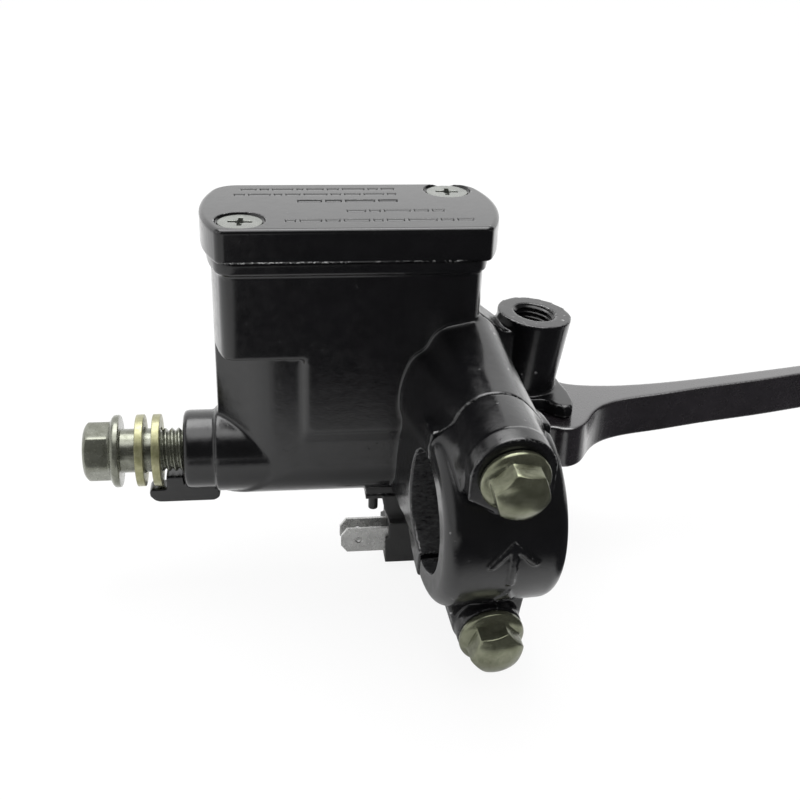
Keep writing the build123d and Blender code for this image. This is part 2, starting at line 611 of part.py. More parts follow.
os.makedirs("parts", exist_ok=True)
for name, pieces in nodes.items():
    solids = []
    for piece in pieces:
        solids.extend((TO_HANDLEBAR * piece).solids())
    out = solids[0] if len(solids) == 1 else Compound(children=solids)
    out.label = name
    export_step(out, f"parts/{name}.step")
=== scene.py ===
"""Brake master cylinder for a handlebar, with its clamp, lever, switch and hose bolt.

Handlebar frame (the scene, metres): the origin is the centre of the clamp, X runs along the
handlebar, Z is up and the camera looks from -Y. Two more frames, both in millimetres, place parts:
  bore frame   X along the cylinder bore, turned by YAW about Z
  clamp frame  tilted by TILT about X, with the cap bolted on from its -Y side
"""
import bpy, bmesh, math, json
import numpy as np
from mathutils import Matrix, Vector


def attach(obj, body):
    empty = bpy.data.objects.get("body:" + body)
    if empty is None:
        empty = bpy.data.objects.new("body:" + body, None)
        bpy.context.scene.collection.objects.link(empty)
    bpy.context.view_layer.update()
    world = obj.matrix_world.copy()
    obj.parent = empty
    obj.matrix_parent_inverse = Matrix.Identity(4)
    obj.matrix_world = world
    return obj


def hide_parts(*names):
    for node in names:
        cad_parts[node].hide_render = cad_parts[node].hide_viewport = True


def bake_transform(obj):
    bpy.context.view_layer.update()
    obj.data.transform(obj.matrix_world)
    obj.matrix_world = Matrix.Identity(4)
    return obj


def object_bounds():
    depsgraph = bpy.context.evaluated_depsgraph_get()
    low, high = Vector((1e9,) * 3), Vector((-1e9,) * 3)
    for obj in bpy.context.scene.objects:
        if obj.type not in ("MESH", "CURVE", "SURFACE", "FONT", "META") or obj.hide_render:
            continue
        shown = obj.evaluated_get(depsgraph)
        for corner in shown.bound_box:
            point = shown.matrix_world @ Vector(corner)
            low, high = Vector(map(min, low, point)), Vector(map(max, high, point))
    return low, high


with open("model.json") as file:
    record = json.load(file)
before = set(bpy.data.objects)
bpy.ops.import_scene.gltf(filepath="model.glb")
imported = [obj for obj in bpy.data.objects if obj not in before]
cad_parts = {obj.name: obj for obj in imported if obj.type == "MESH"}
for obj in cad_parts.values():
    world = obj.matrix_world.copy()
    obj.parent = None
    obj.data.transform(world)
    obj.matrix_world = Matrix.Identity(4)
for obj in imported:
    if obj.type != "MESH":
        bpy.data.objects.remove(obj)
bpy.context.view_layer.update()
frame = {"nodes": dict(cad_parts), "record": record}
nodes = frame["nodes"]
scene = bpy.context.scene
MM = 0.001

# ------------------------------------------------------------------ frames shared with the CAD
CLAMP_CENTRE = np.array((62.4, -34.3, 3.5))     # in the bore frame
YAW, TILT = math.radians(5.0), math.radians(9.0)
BOLT_SEAT = 15.8                                # clamp centre to the seat of the bolt heads
BOLT_OFFSET = 20.9                              # clamp centre to each bolt, along Z
MIRROR_TOP = np.array((82.3, 12.0, 27.3))       # centre of the boss face, in the bore frame
MIRROR_AXIS = np.array((0.1, -0.03, 1.0))
MIRROR_AXIS /= np.linalg.norm(MIRROR_AXIS)


def turn_from_bore(vector):
    """a vector of the bore frame along the handlebar axes"""
    x, y, z = vector[..., 0], vector[..., 1], vector[..., 2]
    c, s = math.cos(YAW), math.sin(YAW)
    return np.stack([x * c + y * s, -x * s + y * c, z], -1)


def from_bore(points):
    """bore frame in mm to the handlebar frame in metres"""
    return turn_from_bore(np.asarray(points, float) - CLAMP_CENTRE) * MM


def to_bore(points):
    """handlebar frame in metres to the bore frame in mm"""
    x, y, z = (points / MM).T
    c, s = math.cos(YAW), math.sin(YAW)
    return np.stack([x * c - y * s, x * s + y * c, z], -1) + CLAMP_CENTRE


def from_clamp(points):
    """clamp frame in mm to the handlebar frame in metres"""
    x, y, z = points[..., 0], points[..., 1], points[..., 2]
    c, s = math.cos(TILT), math.sin(TILT)
    return np.stack([x, y * c - z * s, y * s + z * c], -1) * MM


# ------------------------------------------------------------------ shader nodes
class Shader:
    """Adds nodes to one tree. An input given a socket is linked, any other value is set."""

    def __init__(self, tree):
        self.tree = tree

    def fill(self, node, inputs):
        for key, value in inputs.items():
            if isinstance(value, bpy.types.NodeSocket):
                self.tree.links.new(value, node.inputs[key])
            else:
                node.inputs[key].default_value = value

    def add(self, kind, inputs=None, **settings):
        node = self.tree.nodes.new("ShaderNode" + kind)
        for key, value in settings.items():
            setattr(node, key, value)
        self.fill(node, inputs or {})
        return node

    def coords(self, scale=None):
        """object coordinates, stretched by scale where one is given"""
        vector = self.add("TexCoord").outputs["Object"]
        if scale is None:
            return vector
        return self.add("Mapping", {"Scale": scale, "Vector": vector}).outputs["Vector"]

    def split(self, vector):
        return self.add("SeparateXYZ", {0: vector}).outputs

    def noise(self, vector, scale, detail=4.0, rough=0.5, distortion=0.0):
        return self.add("TexNoise", {"Scale": scale, "Detail": detail, "Roughness": rough,
                                     "Distortion": distortion, "Vector": vector}).outputs["Fac"]

    def ramp(self, factor, *stops):
        """two stops, each (position, grey value or colour)"""
        node = self.add("ValToRGB", {"Fac": factor})
        for element, (position, colour) in zip(node.color_ramp.elements, stops):
            if isinstance(colour, (int, float)):
                colour = (colour,) * 3
            element.position = position
            element.color = (*colour, 1.0)
        return node.outputs["Color"]

    def maths(self, operation, a, b, clamp=False):
        return self.add("Math", {0: a, 1: b}, operation=operation, use_clamp=clamp).outputs[0]

    def mix_colour(self, factor, first, second):
        return self.add("MixRGB", {0: factor, 1: first, 2: second}).outputs[0]

    def mix_shader(self, factor, first, second):
        return self.add("MixShader", {0: factor, 1: first, 2: second}).outputs[0]

    def bump(self, height, strength, distance, under=None):
        """a bump, laid over the normal called under where one is given"""
        inputs = {"Strength": strength, "Distance": distance, "Height": height}
        if under is not None:
            inputs["Normal"] = under
        return self.add("Bump", inputs).outputs["Normal"]

    def smooth_step(self, value, start, end, low=0.0, high=1.0):
        """low at start, easing to high at end"""
        inputs = {"From Min": start, "From Max": end, "To Min": low, "To Max": high,
                  "Value": value}
        node = self.add("MapRange", inputs, interpolation_type="SMOOTHSTEP")
        return node.outputs["Result"]


def new_material(name):
    material = bpy.data.materials.new(name)
    material.use_nodes = True
    tree = material.node_tree
    return material, Shader(tree), tree.nodes["Principled BSDF"]


def shades(colour, low, high):
    """ramp stops from a darker to a lighter shade of one colour"""
    return (0.3, [c * low for c in colour]), (0.7, [c * high for c in colour])


# ------------------------------------------------------------------ materials
# grey of the edge specks: bare chips, and painted glints standing in for edge highlights
CHIP_AND_GLINT_COLOUR = (0.42, 0.42, 0.42, 1)
BORE_COLOUR = (0.055, 0.055, 0.056, 1)
BORE_REACH = 0.01292        # metres from the handlebar axis that count as clamp bore
CHIPS_AND_GLINTS_FROM = -0.018       # metres along X; the body gets chips and painted edge glints only beyond this
GLOSS_DRIFT = 0.06


def chips_and_glints_on_edges(shader, vector, colour, amount, body):
    """grey specks on convex edges, broken into specks and patches: partly bare chips, partly
    painted glints standing in for edge highlights
    """
    pointiness = shader.add("NewGeometry").outputs["Pointiness"]
    edge = shader.ramp(pointiness, (0.515, 0.0), (0.560, 1.0))
    speck_noise = shader.noise(vector, scale=1300, detail=3, rough=0.7)
    speck = shader.ramp(speck_noise, (0.50, 0.0), (0.58, 1.0))
    patch_noise = shader.noise(vector, scale=110, detail=2)
    patch = shader.ramp(patch_noise, (0.42, 0.0), (0.56, 1.0))
    chipped_and_glinting = shader.maths("MULTIPLY", shader.maths("MULTIPLY", edge, speck),
                        shader.maths("MULTIPLY", patch, amount), clamp=True)
    if body:
        # on the body, the chips and painted glints are kept to the +X side, round the clamp and
        # the mirror boss
        specked_side = shader.maths("GREATER_THAN", shader.split(vector)["X"], CHIPS_AND_GLINTS_FROM)
        chipped_and_glinting = shader.maths("MULTIPLY", chipped_and_glinting, specked_side)
    return shader.mix_colour(chipped_and_glinting, colour, CHIP_AND_GLINT_COLOUR)


def mist_bore(shader, vector, colour):
    """the handlebar bore is machined and only misted with paint"""
    where = shader.split(vector)
    square_y = shader.maths("MULTIPLY", where["Y"], where["Y"])
    square_z = shader.maths("MULTIPLY", where["Z"], where["Z"])
    square = shader.maths("ADD", square_y, square_z)
    inside = shader.maths("LESS_THAN", square, BORE_REACH ** 2)
    along_bar = shader.coords(scale=(500.0, 1100.0, 1100.0))
    streaks = shader.noise(along_bar, scale=1.0, detail=5, rough=0.75)
    streak = shader.ramp(streaks, (0.30, 0.0), (0.80, 1.0))
    return shader.mix_colour(shader.maths("MULTIPLY", inside, streak), colour, BORE_COLOUR)


def paint(name, base, rough, peel, grain, nibs, specular=0.5, chips_and_glints=0.0, body=False, coat=0.0):
    """sprayed paint: orange peel, fine grain, dust nibs, uneven gloss, chipped edges with painted
    glints
    """
    material, shader, surface = new_material(name)
    vector = shader.coords()
    tone = shader.noise(vector, scale=160, detail=3, rough=0.6)
    colour = shader.ramp(tone, *shades(base, low=0.8, high=1.25))
    # grey edge specks: bare chips and painted edge highlights
    if chips_and_glints:
        colour = chips_and_glints_on_edges(shader, vector, colour, chips_and_glints, body)
    if body:
        colour = mist_bore(shader, vector, colour)
    gloss = shader.ramp(shader.noise(vector, scale=420, detail=5, rough=0.65),
                        (0.3, rough - GLOSS_DRIFT), (0.7, rough + GLOSS_DRIFT))
    peeled = shader.bump(shader.noise(vector, scale=620, detail=2), peel, distance=0.00008)
    grained = shader.bump(shader.noise(vector, scale=2400, detail=3, rough=0.6), grain,
                          distance=0.00003, under=peeled)
    # dust nibs: cell centres, kept only where a coarser noise is high
    cells = shader.add("TexVoronoi", {"Scale": 850, "Vector": vector}).outputs["Distance"]
    keep = shader.ramp(shader.noise(vector, scale=420, detail=2), (0.60, 0.0), (0.66, 1.0))
    dots = shader.ramp(cells, (0.03, 1.0), (0.24, 0.0))
    nibbed = shader.bump(shader.maths("MULTIPLY", dots, keep), nibs,
                         distance=0.00009, under=grained)
    shader.fill(surface, {"Base Color": colour, "Roughness": gloss, "Normal": nibbed,
                          "Specular IOR Level": specular})
    if coat:
        shader.fill(surface, {"Coat Weight": coat, "Coat Roughness": 0.22})
    return material


def plated(name, dark, light, rough, metal=1.0, clouds=300, scratch=0.25, grain=0.2,
           brush=(260.0, 3200.0, 900.0)):
    """metal plate: cloudy two-tone colour, fine pits and rub marks

    clouds is the noise scale of the colour, brush the stretch of the rub marks"""
    material, shader, surface = new_material(name)
    vector = shader.coords()
    cloud = shader.noise(vector, scale=clouds, detail=6, rough=0.65, distortion=0.6)
    gloss = shader.ramp(shader.noise(vector, scale=900, detail=6, rough=0.7),
                        (0.3, rough * 0.75), (0.72, rough * 1.35))
    pitted = shader.bump(shader.noise(vector, scale=2600, detail=4, rough=0.65), grain,
                         distance=0.00004)
    rubbed = shader.bump(shader.noise(shader.coords(brush), scale=1.0, detail=4, rough=0.7),
                         scratch, distance=0.00003, under=pitted)
    shader.fill(surface, {"Base Color": shader.ramp(cloud, (0.32, dark), (0.68, light)),
                          "Roughness": gloss, "Normal": rubbed, "Metallic": metal})
    return material


def moulded(name, base, rough):
    """moulded plastic or rubber: fine spark-erosion grain and slight tone drift"""
    material, shader, surface = new_material(name)
    vector = shader.coords()
    tone = shader.noise(vector, scale=220, detail=4, rough=0.6)
    gloss = shader.ramp(shader.noise(vector, scale=700, detail=4, rough=0.6),
                        (0.3, rough - 0.07), (0.7, rough + 0.07))
    grained = shader.bump(shader.noise(vector, scale=1800, detail=3, rough=0.6),
                          strength=0.35, distance=0.00005)
    shader.fill(surface, {"Base Color": shader.ramp(tone, *shades(base, low=0.8, high=1.3)),
                          "Roughness": gloss, "Normal": grained})
    return material


# the chips setting scales the grey edge specks: bare chips and painted edge glints
MATERIALS = {
    "black_paint": (paint, dict(
        base=(0.0036, 0.0036, 0.0041), rough=0.21, peel=0.26, grain=0.45, nibs=0.40,
        chips_and_glints=0.60, body=True)),
    "black_paint_cover": (paint, dict(
        base=(0.0034, 0.0034, 0.0038), rough=0.17, peel=0.14, grain=0.14, nibs=0.25,
        chips_and_glints=0.8)),
    "lever_paint": (paint, dict(
        base=(0.0110, 0.0090, 0.0110), rough=0.25, peel=0.08, grain=0.28, nibs=0.08,
        specular=0.85, coat=0.55)),
    "diaphragm_rubber": (moulded, dict(base=(0.02, 0.02, 0.02), rough=0.6)),
    "cup_rubber": (moulded, dict(base=(0.015, 0.015, 0.015), rough=0.5)),
    "plate_plastic": (moulded, dict(base=(0.05, 0.05, 0.05), rough=0.5)),
    "bright_zinc": (plated, dict(
        dark=(0.150, 0.158, 0.145), light=(0.215, 0.225, 0.205), rough=0.27, metal=0.7,
        scratch=0.2)),
    "olive_zinc": (plated, dict(
        dark=(0.122, 0.128, 0.084), light=(0.215, 0.222, 0.160), rough=0.21, metal=0.82,
        clouds=420, scratch=0.35, grain=0.35)),
    "grey_zinc": (plated, dict(
        dark=(0.120, 0.124, 0.096), light=(0.205, 0.211, 0.178), rough=0.24, metal=0.72,
        clouds=380)),
    "washer_zinc": (plated, dict(
        dark=(0.19, 0.188, 0.092), light=(0.34, 0.332, 0.205), rough=0.34, metal=0.65,
        clouds=500, grain=0.4)),
    "bush_brass": (plated, dict(dark=(0.48, 0.36, 0.16), light=(0.56, 0.44, 0.22), rough=0.3)),
    "piston_aluminium": (plated, dict(
        dark=(0.38, 0.38, 0.40), light=(0.48, 0.48, 0.50), rough=0.3)),
    "spring_steel": (plated, dict(
        dark=(0.30, 0.30, 0.32), light=(0.40, 0.40, 0.42), rough=0.3)),
    "switch_plastic": (moulded, dict(base=(0.014, 0.014, 0.014), rough=0.42)),
    "plunger_plastic": (moulded, dict(base=(0.52, 0.52, 0.50), rough=0.42)),
    "terminal_tin": (plated, dict(
        dark=(0.40, 0.40, 0.393), light=(0.52, 0.52, 0.508), rough=0.28, metal=0.75,
        brush=(300.0, 900.0, 3000.0))),
}
materials = {name: make(name, **settings) for name, (make, settings) in MATERIALS.items()}
slot_of = {part["node"]: part["material_slot"] for part in frame["record"]["subparts"]}
for node_name, node_object in nodes.items():
    node_object.data.materials.clear()
    node_object.data.materials.append(materials[slot_of[node_name]])


# ------------------------------------------------------------------ mesh helpers
def smooth_object(name, mesh, slot, angle=None):
    """a smooth shaded object, sharp where faces meet at more than angle degrees"""
    piece = bpy.data.objects.new(name, mesh)
    scene.collection.objects.link(piece)
    mesh.materials.clear()
    mesh.materials.append(materials[slot])
    mesh.polygons.foreach_set("use_smooth", np.full(len(mesh.polygons), True, bool))
    if angle is not None:
        mesh.set_sharp_from_angle(angle=math.radians(angle))
    mesh.update()
    return piece


def finish_piece(name, mesh, slot, replaces=(), angle=None, body="body"):
    piece = smooth_object(name, mesh, slot, angle)
    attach(piece, body)
    if replaces:
        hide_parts(*replaces)


def get_points(mesh):
    points = np.zeros(len(mesh.vertices) * 3, np.float32)
    mesh.vertices.foreach_get("co", points)
    return points.reshape(-1, 3).astype(float)


def set_points(mesh, points):
    mesh.vertices.foreach_set("co", points.astype(np.float32).ravel())
    mesh.update()


def relax(mesh, rounds, weight=1.0):
    """move each vertex half way to the mean of its neighbours, times its weight"""
    points = get_points(mesh)
    edges = np.zeros(len(mesh.edges) * 2, np.int32)
    mesh.edges.foreach_get("vertices", edges)
    first, second = edges.reshape(-1, 2).T
    count = len(points)
    neighbours = np.bincount(edges, minlength=count).astype(float)[:, None]
    neighbours[neighbours == 0] = 1
    share = 0.5 * np.reshape(weight, (-1, 1))
    for _ in range(rounds):
        total = np.stack([np.bincount(first, points[second, k], count)
                          + np.bincount(second, points[first, k], count)
                          for k in range(3)], 1)
        points = points + share * (total / neighbours - points)
    set_points(mesh, points)


def build_mesh(name, points, faces, weld=0.0):
    """a mesh with outward normals; vertices closer than weld metres are merged"""
    mesh = bpy.data.meshes.new(name)
    mesh.from_pydata(points.tolist(), [], faces)
    mesh.validate()
    bm = bmesh.new()
    bm.from_mesh(mesh)
    if weld:
        bmesh.ops.remove_doubles(bm, verts=bm.verts, dist=weld)
    bmesh.ops.recalc_face_normals(bm, faces=bm.faces)
    bm.to_mesh(mesh)
    bm.free()
    return mesh


def even_angles(count):
    return [2 * math.pi * i / count for i in range(count)]


def revolve(columns, angles):
    """points about the X axis, from one column of (axial, radius) at each angle"""
    outline = np.array(columns, float)
    theta = np.array(angles)[:, None]
    axial, radius = outline[..., 0], outline[..., 1]
    return np.stack([axial, radius * np.cos(theta), radius * np.sin(theta)], -1)


def ring_mesh(name, points, weld=0.0):
    """a closed ring from points[angle][place round the section]"""
    rings, count = points.shape[:2]
    faces = []
    for i in range(rings):
        j = (i + 1) % rings
        for k in range(count):
            after = (k + 1) % count
            faces.append((i * count + k, j * count + k, j * count + after, i * count + after))
    return build_mesh(name, points.reshape(-1, 3), faces, weld)


def solid_mesh(name, columns, angles, place):
    """a closed solid; each column starts and ends on the axis"""
    points = revolve(columns, angles)
    rings, count = len(columns), len(columns[0]) - 2
    start, end = rings * count, rings * count + 1
    faces = []
    for i in range(rings):
        j = (i + 1) % rings
        faces.append((start, j * count, i * count))
        for k in range(count - 1):
            faces.append((i * count + k, j * count + k, j * count + k + 1, i * count + k + 1))
        faces.append((end, i * count + count - 1, j * count + count - 1))
    points = np.vstack([points[:, 1:-1].reshape(-1, 3), points[0, :1], points[0, -1:]])
    return build_mesh(name, place(points), faces)


# ------------------------------------------------------------------ hexagons and threads
def hex_angles(turn):
    """20 angles a side, bunched at the corners; turn is a corner's angle in degrees"""
    angles = []
    for side in range(6):
        for k in range(20):
            t = k / 20
            eased = 0.5 - 0.5 * math.cos(math.pi * t)
            angles.append(math.radians(turn + 60 * side + 60 * (0.35 * t + 0.65 * eased)))
    return angles


def hex_radius(theta, turn, across_flats, corner):
    """distance to the side of a hexagon whose corners are softly held to the corner radius"""
    off_flat = (math.degrees(theta) - turn - 30) % 60
    off_flat = math.radians(min(off_flat, 60 - off_flat))
    flat = across_flats / 2 / math.cos(off_flat)
    blend = 0.22
    return -blend * math.log(math.exp(-flat / blend) + math.exp(-corner / blend))


def thread_wave(axial, pitch, theta):
    """0 to 1 and back once a pitch, following the helix"""
    phase = (axial / pitch - theta / (2 * math.pi)) % 1.0
    return abs(2 * phase - 1)


def clipped(wave, root, rise):
    """flat until root, then up to 1 over rise, then flat again"""
    return min(1.0, max(0.0, (wave - root) / rise))


# ------------------------------------------------------------------ castings
def remeshed(node, voxel):
    """a closed, evenly meshed copy of a CAD node, for a cast or moulded look with rounded edges;
    it is meshed in the node's own axes so flat walls stay flat"""
    mesh = nodes[node].data.copy()
    turn = Matrix.Rotation(-TILT, 4, "X") if node == "clamp_cap" else Matrix.Rotation(YAW, 4, "Z")
    mesh.transform(turn)
    bm = bmesh.new()
    bm.from_mesh(mesh)
    bmesh.ops.remove_doubles(bm, verts=bm.verts, dist=2e-6)
    bm.to_mesh(mesh)
    bm.free()
    holder = bpy.data.objects.new("tmp_" + node, mesh)
    scene.collection.objects.link(holder)
    modifier = holder.modifiers.new("remesh", "REMESH")
    modifier.mode = "VOXEL"
    modifier.voxel_size = voxel * MM
    depsgraph = bpy.context.evaluated_depsgraph_get()
    result = bpy.data.meshes.new_from_object(holder.evaluated_get(depsgraph))
    bpy.data.objects.remove(holder)
    bpy.data.meshes.remove(mesh)
    result.transform(turn.inverted())
    return result


def about_mirror_axis(points):
    """height above the boss face, offset from the mirror axis and its length, and the feet"""
    top, axis = from_bore(MIRROR_TOP), turn_from_bore(MIRROR_AXIS)
    height = (points - top) @ axis
    feet = top + np.outer(height, axis)
    offset = points - feet
    return height, offset, np.linalg.norm(offset, axis=1), feet


def boss_weight(points):
    """the machined face of the mirror boss keeps crisp edges"""
    height, _, radius, _ = about_mirror_axis(points)
    return np.where((height > -1.6 * MM) & (radius < 10.5 * MM), 0.22, 1.0)


def step_weight(points):
    """the step beside the outlet recess is a soft cast one"""
    x, y, z = to_bore(points).T
    near = np.clip(1.0 - np.abs(x - 27.0) / 2.4, 0.0, 1.0)
    below_top = np.clip((26.4 - z) / 1.5, 0.0, 1.0)
    return np.minimum(1.0, 2.0 * near * (y < -9.0) * below_top * (z > -9.0))


def open_thread_hole(mesh):
    """push the wall of the mirror hole outwards, to clear the thread"""
    height, offset, radius, feet = about_mirror_axis(get_points(mesh))
    wall = (radius < 5.2 * MM) & (radius > 3.9 * MM) & (height < 0.4 * MM) & (height > -14.6 * MM)
    stretch = np.where(wall, 5.22 * MM / np.maximum(radius, 1e-9), 1.0)
    set_points(mesh, feet + offset * stretch[:, None])


def body_casting():
    mesh = remeshed("cylinder_body", voxel=0.30)
    relax(mesh, rounds=7, weight=boss_weight(get_points(mesh)))
    relax(mesh, rounds=22, weight=step_weight(get_points(mesh)))
    open_thread_hole(mesh)
    finish_piece("body_casting", mesh, "black_paint", ("cylinder_body",))


def cast(node, name, voxel, rounds):
    mesh = remeshed(node, voxel)
    relax(mesh, rounds)
    bodies = frame["record"]["behaviour"]["bodies"]
    body = next(body for body, members in bodies.items() if node in members)
    finish_piece(name, mesh, slot_of[node], (node,), body=body)


# CAD node, object name, voxel in mm, rounds of relaxing
CASTINGS = (
    ("clamp_cap", "clamp_cap_casting", 0.22, 6),
    ("reservoir_cover", "cover_casting", 0.2, 2),
    ("brake_lever", "lever_casting", 0.3, 5),
    ("switch_housing", "switch_moulding", 0.2, 3),
    ("switch_terminals", "terminal_blades", 0.1, 2),
    ("pivot_bolt", "pivot_bolt_turned", 0.14, 2),
    ("pivot_nut", "pivot_nut_pressed", 0.14, 2),
    ("cover_screws", "cover_screws_pressed", 0.1, 2),
    ("switch_screw", "switch_screw_pressed", 0.12, 2),
)
body_casting()
for casting in CASTINGS:
    cast(*casting)


# ------------------------------------------------------------------ mirror thread, inside the boss
def mirror_thread():
    pitch, depth, steps_per_pitch = 1.25, 14.0, 14
    root, thread_height, outside = 4.38, 0.56, 5.3      # radii; root is the smallest
    lead_in = 5.1                                       # radius of the cone at the mouth
    mouth = -0.06                                       # height, just under the boss face
    steps = int(depth / pitch * steps_per_pitch)
    across = np.cross(MIRROR_AXIS, (0, 1, 0))
    across /= np.linalg.norm(across)
    along = np.cross(MIRROR_AXIS, across)
    columns = []
    for theta in even_angles(96):
        outward = across * math.cos(theta) + along * math.sin(theta)
        section = []
        for k in range(steps + 1):
            height = mouth - depth * k / steps
            wave = thread_wave(height, pitch, theta)
            radius = root + thread_height * clipped(wave, root=0.12, rise=0.76)
            section.append((height, max(radius, lead_in + height - mouth)))
        section += [(mouth - depth, outside), (mouth, outside)]
        columns.append([MIRROR_TOP + MIRROR_AXIS * h + outward * r for h, r in section])
    mesh = ring_mesh("mirror_thread", from_bore(columns))
    finish_piece("mirror_thread", mesh, "black_paint", angle=50)


mirror_thread()

# ------------------------------------------------------------------ banjo bolt
# columns: axial place along the bore, radius
BANJO_FLANGE = [
    (-15.72, 8.05), (-15.5, 8.2), (-15.2, 8.27), (-14.6, 8.27), (-14.3, 8.18), (-14.2, 8.0),
    (-14.2, 6.4), (-14.2, 5.3), (-14.05, 5.06), (-13.8, 5.0)]
BANJO_SHANK = [
    (-12.5, 5.0), (-11.0, 5.0), (-9.6, 5.0), (-8.2, 5.0), (-7.5, 5.0),
    (-7.1, 4.96), (-6.95, 4.6), (-6.8, 4.42)]
BANJO_TIP = [(8.75, 4.1), (9.0, 3.7), (9.0, 1.8), (9.0, 0.0)]
BANJO_TURN = 6.0


def banjo_head(side):
    """dished end face, chamfer, and six sides at radius side running into the flange"""
    centre, dish, dish_radius = -22.15, 0.10, 5.6
    rim, rim_radius = -22.22, 5.35
    column = [(centre, 0.0)]
    for part in (0.25, 0.5, 0.68, 0.80):
        lip = dish if part > 0.7 else 0.0
        column.append((centre + dish * (1 - part) - lip, part * dish_radius))
    column.append((rim, rim_radius))

    # the chamfer steepens towards the corners
    def chamfer(part):
        return rim + 0.16 * part + 0.52 * (side - rim_radius) * part ** 2

    for part in (0.2, 0.5, 0.8, 0.95):
        column.append((chamfer(part), rim_radius + (side - rim_radius) * part))
    column.append((chamfer(1.0) + 0.12, side))
    column += [(x, side) for x in (-20.5, -19.0, -17.6, -16.9)]
    column += [(-16.62, side + 0.03), (-16.42, max(side + 0.15, 6.6)),
               (-16.2, max(side + 0.4, 7.3)), (-15.95, 7.75)]
    return column


def banjo_thread(theta):
    """helical thread that fades out at both ends"""
    start, end, step, pitch = -6.7, 8.6, 0.08, 1.5
    root, thread_height = 4.36, 0.60
    fade_in, fade_out = 0.8, 1.0
    column = []
    x = start
    while x < end:
        crest = clipped(thread_wave(x, pitch, theta), root=0.10, rise=0.74)
        fade = min(1.0, (x - start) / fade_in, (end - x) / fade_out)
        column.append((x, root + thread_height * crest * fade))
        x += step
    return column


def banjo_bolt():
    angles = hex_angles(BANJO_TURN)
    columns = []
    for theta in angles:
        side = hex_radius(theta, BANJO_TURN, across_flats=12.0, corner=6.82)
        columns.append(banjo_head(side) + BANJO_FLANGE + BANJO_SHANK
                       + banjo_thread(theta) + BANJO_TIP)
    mesh = solid_mesh("banjo_bolt_plated", columns, angles, from_bore)
    finish_piece("banjo_bolt_plated", mesh, "grey_zinc", ("banjo_bolt",), angle=35)


banjo_bolt()


# ------------------------------------------------------------------ banjo washers
def fillet(x, radius, size, start, end, parts):
    """arc about (x, radius) from start to end degrees"""
    angles = [math.radians(start + (end - start) * k / parts) for k in range(parts + 1)]
    return [(x + size * math.cos(a), radius + size * math.sin(a)) for a in angles]


def washer(name, left, right, replaces=()):
    """a slightly wavy washer between two places along the bore"""
    corner = 0.16
    inner, outer = 5.25 + corner, 8.2 - corner      # radii where the rounded corners begin
    section = [(left, inner), (left, outer)]
    section += fillet(left + corner, outer, corner, 180, 90, parts=4)[1:]
    section += fillet(right - corner, outer, corner, 90, 0, parts=4)
    section += [(right, outer), (right, inner)]     # the first repeats a point; weld merges it
    section += fillet(right - corner, inner, corner, 0, -90, parts=3)[1:]
    section += fillet(left + corner, inner, corner, 270, 180, parts=3)[:-1]
    angles = even_angles(128)
    columns = []
    for theta in angles:
        shift = 0.015 * math.sin(2 * theta)
        columns.append([(x + shift, r + (0.02 * math.sin(3 * theta + x) if r > 7 else 0.0))
                        for x, r in section])
    mesh = ring_mesh(name, from_bore(revolve(columns, angles)), weld=1e-7)
    finish_piece(name, mesh, "washer_zinc", replaces, angle=40)


washer("banjo_washer_outer", -10.6, -8.8, ("banjo_washers",))
washer("banjo_washer_inner", -6.9, -5.1)

# ------------------------------------------------------------------ clamp bolts
# columns: height above the seat, radius
CLAMP_FLANGE = [
    (1.95, 6.3), (1.72, 6.62), (1.5, 6.80), (1.25, 6.87), (0.7, 6.87), (0.35, 6.78),
    (0.12, 6.6), (0.0, 6.35), (0.0, 4.5), (0.0, 3.1)]
CLAMP_SHANK = [(-0.15, 2.97), (-6.0, 2.95), (-12.0, 2.95)]
CLAMP_TIP = [(-28.2, 2.7), (-28.8, 2.3), (-28.8, 0.0)]


def dome(radius):
    """height of the domed end, with a shallow dimple at its centre"""
    return math.sqrt(65.6 - radius * radius) - 0.12 * math.exp(-(radius / 1.6) ** 2)


def clamp_column(theta, turn):
    side = hex_radius(theta, turn, across_flats=10.0, corner=5.72)
    edge, side_foot = 0.12, 2.75
    column = [(dome(0), 0.0)]
    for part in (0.08, 0.16, 0.25, 0.35, 0.46, 0.58, 0.70, 0.82, 0.92):
        column.append((dome(side * part), side * part))
    column.append((dome(side - edge * 1.2), side - edge * 1.2))
    top = dome(side)
    column += [(top - 0.02, side - edge * 0.35), (top - edge, side)]
    for part in (0.25, 0.5, 0.75):
        column.append((top - edge + (side_foot - top + edge) * part, side))
    column += [(side_foot, side), (2.5, side + 0.05),
               (2.36, max(side + 0.2, 5.5)), (2.2, max(side + 0.32, 5.9))]
    column += CLAMP_FLANGE + CLAMP_SHANK
    for k in range(30):
        height = -14.0 - k * 0.45
        column.append((height, 2.72 + 0.23 * thread_wave(height, 1.0, theta)))
    return column + CLAMP_TIP


def clamp_bolt(name, z, turn, replaces=()):
    def place(points):
        """the bolt's axis onto -Y of the clamp frame"""
        axial, x, up = points.T
        return from_clamp(np.stack([x, -BOLT_SEAT - axial, z + up], 1))

    angles = hex_angles(turn)
    columns = [clamp_column(theta, turn) for theta in angles]
    mesh = solid_mesh(name, columns, angles, place)
    finish_piece(name, mesh, "olive_zinc", replaces, angle=30)


clamp_bolt("clamp_bolt_upper", BOLT_OFFSET, 47.0, ("clamp_bolts",))
clamp_bolt("clamp_bolt_lower", -BOLT_OFFSET, 72.0)

